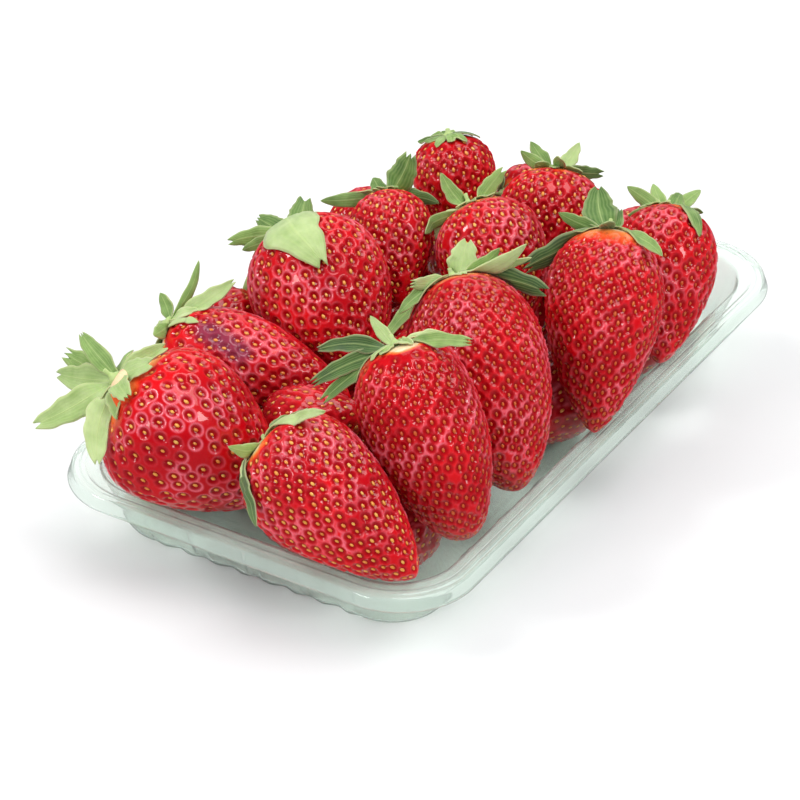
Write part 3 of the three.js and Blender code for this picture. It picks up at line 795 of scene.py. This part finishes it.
seed_husk, husk_tree, husk_shader = new_material("seed_husk")
husk_tone = attribute_value(husk_tree, "tone")
husk_tone = math_node(husk_tree, "MULTIPLY_ADD", husk_tone, HUSK_SPREAD, HUSK_DARKEST)
husk_tone = math_node(husk_tree, "MULTIPLY", attribute_value(husk_tree, "glow"), husk_tone)
husk_colour = ramp(husk_tree, husk_tone, [
    (0.0, (0.52, 0.06, 0.01)), (0.35, (0.70, 0.17, 0.025)),
    (0.75, (0.82, 0.36, 0.06)), (1.0, (0.80, 0.46, 0.11)),
])
fill(husk_shader, {
    "Base Color": husk_colour, "Roughness": 0.32, "Coat Weight": 0.3,
    "Subsurface Weight": 0.1, "Subsurface Radius": (1.0, 0.5, 0.2), "Subsurface Scale": 0.5 * MM,
})

seeds_in_dimples = seed_tree()
for name, shapes, random_seed in (("upper_seeds", upper_shapes, 11), ("lower_seeds", lower_shapes, 12)):
    piece = seed_piece(name, shapes, seeds_in_dimples, {
        "Length": SEED_LENGTH * MM, "Width": SEED_WIDTH * MM, "Thickness": SEED_THICKNESS * MM,
        "Size Spread": SEED_SPREAD, "Random Seed": random_seed, "Material": seed_husk,
    })
    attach(piece, "root")
    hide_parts("strawberries")

# ---- Calyxes ---------------------------------------------------------------
# Each berry keeps its star of green sepals round a short stalk: thin leaves,
# folded along the midrib, toothed or notched at the tip, some of them dry.

# A sepal is clock, lift, length, width, curl, roll and tone: its clock angle
# round the calyx, 0 uppermost and 90 on the right from the calyx end, how far
# it lifts off the shoulder, how much it droops, how far it twists about its
# own length, and its tone, 0 dark to 1 pale.
# The tones are partly each sepal's own colour and partly painted shade, darker for sepals that lie in shadow.
SEPALS = (
    ((-134, 34, 20, 9, 8, -16, 0.6), (-102, 44, 17, 6.5, 5, 21, 0.55), (-154, 30, 20, 9.5, 10, -40, 0.75),
     (151, 28, 22, 9.5, 12, -74, 0.8), (124, -17, 22, 9.5, 15, -68, 0.85), (-28, -23, 14, 7.5, 10, 70, 0.8),
     (20, -14, 12, 8, 30, 20, 0.8), (62, -12, 12, 8, 30, -10, 0.75), (95, -20, 12, 7, 20, -39, 0.75)),
    ((-47, -7, 18, 2.8, -10, -62, 0.6), (-18, -47, 20, 6.5, -25, 62, 0.8), (-7, -59, 10, 5, 10, 50, 0.9),
     (41, -67, 11, 3, 5, 16, 0.85), (-71, 40, 10, 4, 0, 60, 0.45), (79, 12, 9, 5, 10, 50, 0.5)),
    ((-85, 18, 11, 6, 20, -70, 0.35), (97, -16, 13, 8, 10, 76, 0.85), (77, 17, 15, 4.6, -50, 48, 0.65),
     (94, -35, 26, 5, 50, -30, 0.1), (2, -22, 25, 6, 20, 20, 0.8)),
    ((-165, 50, 13, 3.6, -20, -20, 0.8), (-24, -11, 20, 5.5, 20, 62, 0.5), (-85, -5, 13, 5, -10, 70, 0.9),
     (6, 3, 8, 5, 5, 60, 0.85), (122, 20, 18.5, 5.5, 15, -78, 0.12), (120, -2, 21, 6.2, 15, -78, 0.15),
     (119, -15, 21, 5.5, 20, -70, 0.3)),
    ((-90, 59, 11, 9.5, -5, 74, 0.85), (-64, 20, 14, 4.6, -10, -62, 0.5), (-51, 7, 21, 4.4, -25, -50, 0.9),
     (-67, -2, 20, 3, -5, -60, 0.85), (-71, -25, 22.5, 9, 25, -66, 0.12), (-1, -28, 8, 6, 10, 30, 0.85),
     (75, 4, 13, 5.5, 10, 66, 0.75), (90, -27, 24, 5.5, 20, -50, 0.5), (74, -19, 19, 5, 15, -60, 0.45)),
    ((127, 70, 14, 11.5, -10, -48, 0.3), (98, 19, 14, 5, -15, 70, 0.4), (90, -27, 22.5, 9, 20, 66, 0.12),
     (-51, -23, 21, 5, 20, 50, 0.5), (-160, 60, 9, 6, 5, 20, 0.35)),
    ((101, 36, 14, 4.5, -10, 70, 0.5), (106, 28, 9, 6, 0, 60, 0.6), (144, 58, 13, 4, -5, -38, 0.6),
     (-146, 55, 10, 6, -5, 46, 0.4), (-141, 40, 18, 4, -10, 60, 0.6), (-41, -40, 17, 6.4, 10, 50, 0.4),
     (93, -10, 10.5, 5, 5, 55, 0.45), (113, -54, 9, 4, 5, 40, 0.5)),
    ((110, 63, 11, 8, 5, 66, 0.35), (-60, 54, 11, 9, 5, -60, 0.35), (99, 20, 16, 6.5, 10, 55, 0.5),
     (109, 9, 13.5, 5, 10, 55, 0.5), (27, -56, 28, 12.5, 10, 0, 0.8), (-90, -3, 16, 4, 20, -50, 0.05),
     (144, -12, 22, 5, 40, 50, 0.7)),
    ((107, 11, 18, 4.4, 5, 60, 0.4), (141, 66, 9, 5, -5, -50, 0.4), (-53, 47, 12.5, 10, -5, -52, 0.35),
     (-90, -18, 14, 5, 20, -60, 0.2)),
    ((123, 81, 13, 5, -10, -75, 0.45), (-69, 28, 13, 6, -5, -70, 0.55), (121, -12, 12.5, 6.4, 10, 72, 0.9),
     (114, -5, 18, 3.8, 15, 66, 0.5), (74, -34, 5, 4, 5, -40, 0.9)),
    ((172, 21, 5, 4, -10, -30, 0.4), (122, -2, 9, 3, 10, -55, 0.3), (-111, -21, 9, 3, 20, 50, 0.15),
     (143, 6, 6, 4, 0, -50, 0.45)),
    ((99, 51, 11, 5, -10, -70, 0.45), (78, 30, 11, 4, -10, 66, 0.45), (-137, 59, 12, 5, -20, 52, 0.8),
     (-120, 9, 14, 5.5, 10, -66, 0.3), (50, 11, 7, 4, 5, 50, 0.5)),
)
SMALL_SEPALS = 9
SMALL_SEPAL_GAP = 24
SMALL_SLIP = 0.6
SMALL_LENGTH = (0.26, 0.38)
SMALL_WIDTH = 0.42
SMALL_LIFT = (-14, 12)
SMALL_CURL = 14
SMALL_ROLL = (-30, 30)
SMALL_TONE = (0.2, 0.7)
LOWER_SEPALS = 8
LOWER_STEPS = 8
LOWER_STRIPS = 4
SEPAL_THICKNESS = 0.32
SEPAL_STEPS = 26
SEPAL_STRIPS = 8
SEPAL_START = 1.2
SEPAL_SINK = 0.6
SEPAL_ROOT = 0.4
SEPAL_FULL = 0.5
SEPAL_TAPER = 3.2
SEPAL_TIP = 0.8
SEPAL_UNEVEN = 9
SEPAL_TWIST_END = 0.35
SEPAL_BOW = 0.12
TEETH = (3, 6)
TEETH_FROM_WIDTH = 4.5
TOOTH_DEPTH = 0.26
TOOTHED = (0.3, 0.55)
RAGGED = 0.05
RAGGED_TURNS = (14, 24)
NOTCH = (0.15, 0.5)
NOTCH_FROM_WIDTH = 5
NOTCH_DEPTH = 0.14
NOTCH_WIDTH = 0.7
CUP = (0.15, 0.5)
WAVE = (0.25, 0.6)
WAVE_TURNS = (6, 11)
WAVE_LIFT = 1.6
LEAF_CLEARANCE = 0.35
LEAF_LEVELS = 5
LEAF_LEVEL_RISE = 0.14
SHOULDER_STEPS = 200
FLANGE_CLEARANCE = 0.7
TRAY_MARGIN = 2
STALK_LENGTH = (1.6, 3.4)
STALK_WIDTH = (1.7, 2.3)
STALK_LEAN = (-0.8, 0.8)
STALK_TONE = 0.72
TONE_SLIP = 0.05


def laid_over(points, clearance):
    """Moves a leaf's points out of any berry that they would sink into."""
    for berry in (*berries, *lower_berries):
        depth = (points - berry.calyx) @ berry.axis
        share = depth / berry.length
        near = (share > 0) & (share < 1)
        radial = points - berry.centre(share)
        out = np.linalg.norm(radial, axis=1)
        sunk = np.where(near, berry.radius(share) + clearance - out, 0)
        shoulder = berry.share[:SHOULDER_STEPS]
        level = np.interp(out, berry.radius(shoulder), shoulder)
        back_out = depth - level * berry.length + clearance
        over_shoulder = (share < berry.widest) & (back_out < sunk)
        push = np.where(over_shoulder[:, None], -berry.axis * back_out[:, None],
                        radial / np.maximum(out, 1e-6)[:, None] * sunk[:, None])
        points = points + np.where((sunk > 0)[:, None], push, 0)
    return kept_off_tray(points)


def kept_off_tray(points):
    """Leaves that hang over the side stay just above the flange."""
    room_x, room_y = (side / 2 - BASE_INSET - TRAY_MARGIN for side in (TRAY_WIDTH, TRAY_LENGTH))
    over = (abs(points[:, 0]) > room_x) | (abs(points[:, 1]) > room_y)
    points[:, 2] = np.where(over, np.maximum(points[:, 2], TRAY_HEIGHT + FLANGE_CLEARANCE), points[:, 2])
    return points


def eased(points, rows):
    """Evens a leaf out along its length, its root and tip rows kept."""
    grid = points.reshape(rows, -1, 3).copy()
    for _ in range(2):
        grid[1:-1] = 0.5 * grid[1:-1] + 0.25 * (grid[:-2] + grid[2:])
    return grid.reshape(-1, 3)


def sepal_margin(share, width, teeth, notch, random):
    """Half width on one side of a sepal: full at the middle, with ragged teeth towards the tip."""
    body = SEPAL_ROOT + (1 - SEPAL_ROOT) * smooth(0, SEPAL_FULL, share)
    body *= np.clip(1 - share ** SEPAL_TAPER, 0, 1) ** SEPAL_TIP * (1 - notch) + notch * NOTCH_WIDTH
    saw = (share * teeth + random.random()) % 1
    ragged = RAGGED * np.sin(random.uniform(*RAGGED_TURNS) * share + random.uniform(0, 6))
    return width / 2 * body * (1 - TOOTH_DEPTH * saw * smooth(*TOOTHED, share) * (teeth > 0) + ragged)


def sepal_grid(berry, clock, lift, length, width, curl, roll, level, random, steps, strips):
    """Middle surface of one sepal as rows of points, root first."""
    axis, top, side = berry.star
    turn = math.radians(clock)
    outward = top * math.cos(turn) + side * math.sin(turn)
    across = np.cross(axis, outward)
    root = berry.hub + axis * SEPAL_SINK + outward * SEPAL_START
    share = np.linspace(0, 1, steps + 1)
    edge = np.linspace(-1, 1, strips + 1)
    uneven = random.uniform(-SEPAL_UNEVEN, SEPAL_UNEVEN) * np.sin(5 * share)
    slope = np.radians(lift + curl * (0.5 - share) + uneven)
    run = (length - SEPAL_START) / steps
    reach = np.concatenate([[0], np.cumsum(np.cos(slope[1:]) * run)])
    rise = np.concatenate([[0], np.cumsum(np.sin(slope[1:]) * run)])
    teeth = random.integers(*TEETH) if width > TEETH_FROM_WIDTH else 0
    notch = random.uniform(*NOTCH) if width > NOTCH_FROM_WIDTH else 0.0
    left, right = (sepal_margin(share, width, teeth, notch, random) for _ in range(2))
    half = (left + right) / 2
    spread = np.where(edge[None] < 0, left[:, None], right[:, None])
    cup = random.uniform(*CUP) * half / 2
    wave = random.uniform(*WAVE) * np.sin(random.uniform(*WAVE_TURNS) * share + random.uniform(0, 6))
    flat_normal = np.outer(np.sin(slope), outward) + np.outer(np.cos(slope), axis)
    twist = np.radians(roll) * smooth(0, SEPAL_TWIST_END, share)[:, None]
    normal = np.cos(twist) * flat_normal - np.sin(twist) * across
    crossing = np.cos(twist) * across + np.sin(twist) * flat_normal
    back = np.outer(np.cos(slope), outward) - np.outer(np.sin(slope), axis)
    middle = root + np.outer(reach, outward) - np.outer(rise, axis)
    bow = random.uniform(-SEPAL_BOW, SEPAL_BOW) * length * share ** 2
    middle = middle + np.outer(bow, across)
    grid = middle[:, None] + (edge * spread)[..., None] * crossing[:, None]
    lift_edge = -cup[:, None] * edge ** 2 + (wave * half / width)[:, None] * edge * abs(edge) * WAVE_LIFT
    grid = grid + lift_edge[..., None] * normal[:, None]
    lobes = random.integers(1, 3)
    tooth = np.cos(math.pi * lobes * (edge - lobes % 2))
    tooth = notch * NOTCH_DEPTH * length * (share ** 6)[:, None] * tooth
    grid = grid + tooth[..., None] * back[:, None]
    points = grid.reshape(-1, 3)
    clearance = LEAF_CLEARANCE + level * LEAF_LEVEL_RISE
    free = points[:strips + 1].copy()
    points = eased(laid_over(points, clearance), steps + 1)
    points = laid_over(points, clearance)
    points[:strips + 1] = free
    return points.reshape(steps + 1, strips + 1, 3)


def leaf_solid(grid):
    """Both faces of a thin leaf and its rim, from its middle surface."""
    rows, columns = grid.shape[:2]
    along, across = np.gradient(grid, axis=0), np.gradient(grid, axis=1)
    normal = np.cross(along, across)
    normal /= np.maximum(np.linalg.norm(normal, axis=2, keepdims=True), 1e-9)
    shift = normal * SEPAL_THICKNESS / 2
    points = np.concatenate([(grid + shift).reshape(-1, 3), (grid - shift).reshape(-1, 3)])
    count = rows * columns
    faces = []
    for row in range(rows - 1):
        for column in range(columns - 1):
            a = row * columns + column
            quad = (a, a + columns, a + columns + 1, a + 1)
            faces += [quad, tuple(corner + count for corner in reversed(quad))]
    rim = [row * columns for row in range(rows)]
    rim += [(rows - 1) * columns + column for column in range(1, columns)]
    rim += [row * columns + columns - 1 for row in range(rows - 2, -1, -1)]
    rim += [column for column in range(columns - 2, 0, -1)]
    for here, after in zip(rim, rim[1:] + rim[:1]):
        faces.append((after, here, here + count, after + count))
    return points, faces


def stalk_solid(berry, length, width, lean, sides=10):
    """The button in the calyx's middle and the cut stalk that rises from it."""
    # Rows of height and radius, at the middle of STALK_WIDTH.
    profile = ((-0.8, 0.5), (-0.4, 1.9), (0.15, 2.1), (0.7, 1.5), (1.1, 0.9), (1.8, 0.62),
               (length * 0.6, 0.55), (length, 0.62), (length + 0.12, 0.35))
    axis, top, beside = berry.star
    points, faces = [], []
    for height, reach in profile:
        reach *= width / 2.0
        for side in range(sides):
            turn = 2 * math.pi * side / sides
            ring = top * math.cos(turn) + beside * math.sin(turn)
            sway = lean * (max(height, 0) / max(length, 1)) ** 2
            points.append(berry.hub - axis * height + ring * reach + top * sway)
    for ring in range(len(profile) - 1):
        for side in range(sides):
            a, b = ring * sides + side, ring * sides + (side + 1) % sides
            faces.append((b, a, a + sides, b + sides))
    faces.append(tuple(range(sides)))
    faces.append(tuple(reversed(range(len(points) - sides, len(points)))))
    return np.array(points), faces


def calyx_sepals(berry, listed, small, random):
    """The listed sepals, and small ones wherever the star has room."""
    sepals = list(listed)
    for number in range(small):
        clock = (number + SMALL_SLIP * random.random()) * 360 / small
        apart = [abs((other[0] - clock + 180) % 360 - 180) for other in listed]
        if all(gap > SMALL_SEPAL_GAP for gap in apart):
            length = random.uniform(*SMALL_LENGTH) * berry.width
            roll = random.uniform(*SMALL_ROLL)
            lift = random.uniform(*SMALL_LIFT)
            tone = random.uniform(*SMALL_TONE)
            sepals.append((clock, lift, length, length * SMALL_WIDTH, SMALL_CURL, roll, tone))
    return sepals


def calyx_piece(name, fruits, listed, small, steps, strips, random):
    """One mesh of the sepals and stalks of some berries."""
    points, faces, tones, places = [], [], [], []

    def add(part_points, part_faces, tone, leaf_place):
        start = sum(len(p) for p in points)
        points.append(part_points)
        faces.extend(tuple(start + corner for corner in face) for face in part_faces)
        tones.append(np.full(len(part_points), tone))
        places.append(leaf_place)

    share, edge = np.meshgrid(np.linspace(0, 1, steps + 1), np.linspace(0, 1, strips + 1), indexing="ij")
    leaf_place = np.tile(np.stack([edge.ravel(), share.ravel()], axis=1), (2, 1))
    for berry, own in zip(fruits, listed):
        for level, (*shape, tone) in enumerate(calyx_sepals(berry, own, small, random)):
            grid = sepal_grid(berry, *shape, level % LEAF_LEVELS, random, steps, strips)
            add(*leaf_solid(grid), tone + random.uniform(-TONE_SLIP, TONE_SLIP), leaf_place)
        sizes = [random.uniform(*reach) for reach in (STALK_LENGTH, STALK_WIDTH, STALK_LEAN)]
        stalk = stalk_solid(berry, *sizes)
        add(*stalk, STALK_TONE, np.full((len(stalk[0]), 2), 0.5))
    piece = plain_mesh(name, np.concatenate(points) * MM, faces)
    store(piece, "tone", np.concatenate(tones))
    chart = piece.data.uv_layers.new(name="leaf")
    corners = np.zeros(len(piece.data.loops), int)
    piece.data.loops.foreach_get("vertex_index", corners)
    chart.data.foreach_set("uv", np.concatenate(places)[corners].ravel())
    piece.data.shade_smooth()
    return piece


BLOTCH_SCALE = 260
LEAF_GRAIN_SCALE = 900
RIB_SHARPNESS = 22
RIB_LIGHT = 0.55
VEIN_SPACING = 26
VEIN_LIGHT = 0.16
RIM_LIGHT = 0.45
calyx_leaf, leaf_tree, leaf_shader = new_material("calyx_leaf")
leaf_math = functools.partial(math_node, leaf_tree)
leaf_noise = functools.partial(noise, leaf_tree)
leaf_chart = add_node(leaf_tree, "ShaderNodeUVMap", {}, uv_map="leaf")
leaf_axes = add_node(leaf_tree, "ShaderNodeSeparateXYZ", {0: leaf_chart.outputs["UV"]})
blotches = leaf_math("MULTIPLY", leaf_math("SUBTRACT", leaf_noise(BLOTCH_SCALE, 3), 0.5), 0.5)
leaf_tone = leaf_math("ADD", attribute_value(leaf_tree, "tone"), blotches)
leaf_green = ramp(leaf_tree, leaf_tone, [
    (0.0, (0.022, 0.065, 0.018)), (0.3, (0.065, 0.155, 0.020)),
    (0.6, (0.22, 0.35, 0.085)), (1.0, (0.48, 0.58, 0.27)),
])
# A pale midrib, weaker side veins that run beside it and a dry rim.
from_rib = leaf_math("ABSOLUTE", leaf_math("SUBTRACT", leaf_axes.outputs["X"], 0.5))
rib = leaf_math("SUBTRACT", 1, leaf_math("MINIMUM", leaf_math("MULTIPLY", from_rib, RIB_SHARPNESS), 1))
veins = leaf_math("ABSOLUTE", leaf_math("SINE", leaf_math("MULTIPLY", from_rib, VEIN_SPACING)))
veins = leaf_math("POWER", veins, 3)
veins = leaf_math("MULTIPLY", veins, VEIN_LIGHT)
vein_light = leaf_math("MAXIMUM", leaf_math("MULTIPLY", rib, RIB_LIGHT), veins)
leaf_green = mixed(leaf_tree, vein_light, leaf_green, (0.47, 0.58, 0.22, 1))
rim = leaf_math("POWER", leaf_math("MULTIPLY", from_rib, 2), 10)
leaf_green = mixed(leaf_tree, leaf_math("MULTIPLY", rim, RIM_LIGHT), leaf_green, (0.62, 0.60, 0.33, 1))
leaf_relief = add_node(leaf_tree, "ShaderNodeBump", {
    "Strength": 0.5, "Distance": 0.3 * MM,
    "Height": leaf_math("ADD", vein_light, leaf_math("MULTIPLY", leaf_noise(LEAF_GRAIN_SCALE, 3), 0.5)),
})
fill(leaf_shader, {
    "Base Color": leaf_green, "Normal": leaf_relief.outputs["Normal"],
    "Roughness": 0.55, "Specular IOR Level": 0.4, "Sheen Weight": 0.15,
    "Subsurface Weight": 0.2, "Subsurface Radius": (0.6, 1.0, 0.3), "Subsurface Scale": 0.6 * MM,
})

upper_calyxes = calyx_piece("upper_calyxes", berries, SEPALS, SMALL_SEPALS, SEPAL_STEPS, SEPAL_STRIPS, random)
none_listed = [()] * len(lower_berries)
lower_calyxes = calyx_piece(
    "lower_calyxes", lower_berries, none_listed, LOWER_SEPALS, LOWER_STEPS, LOWER_STRIPS, random)
for piece in (upper_calyxes, lower_calyxes):
    piece.data.materials.append(calyx_leaf)
    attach(piece, "root")
    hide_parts("strawberries")
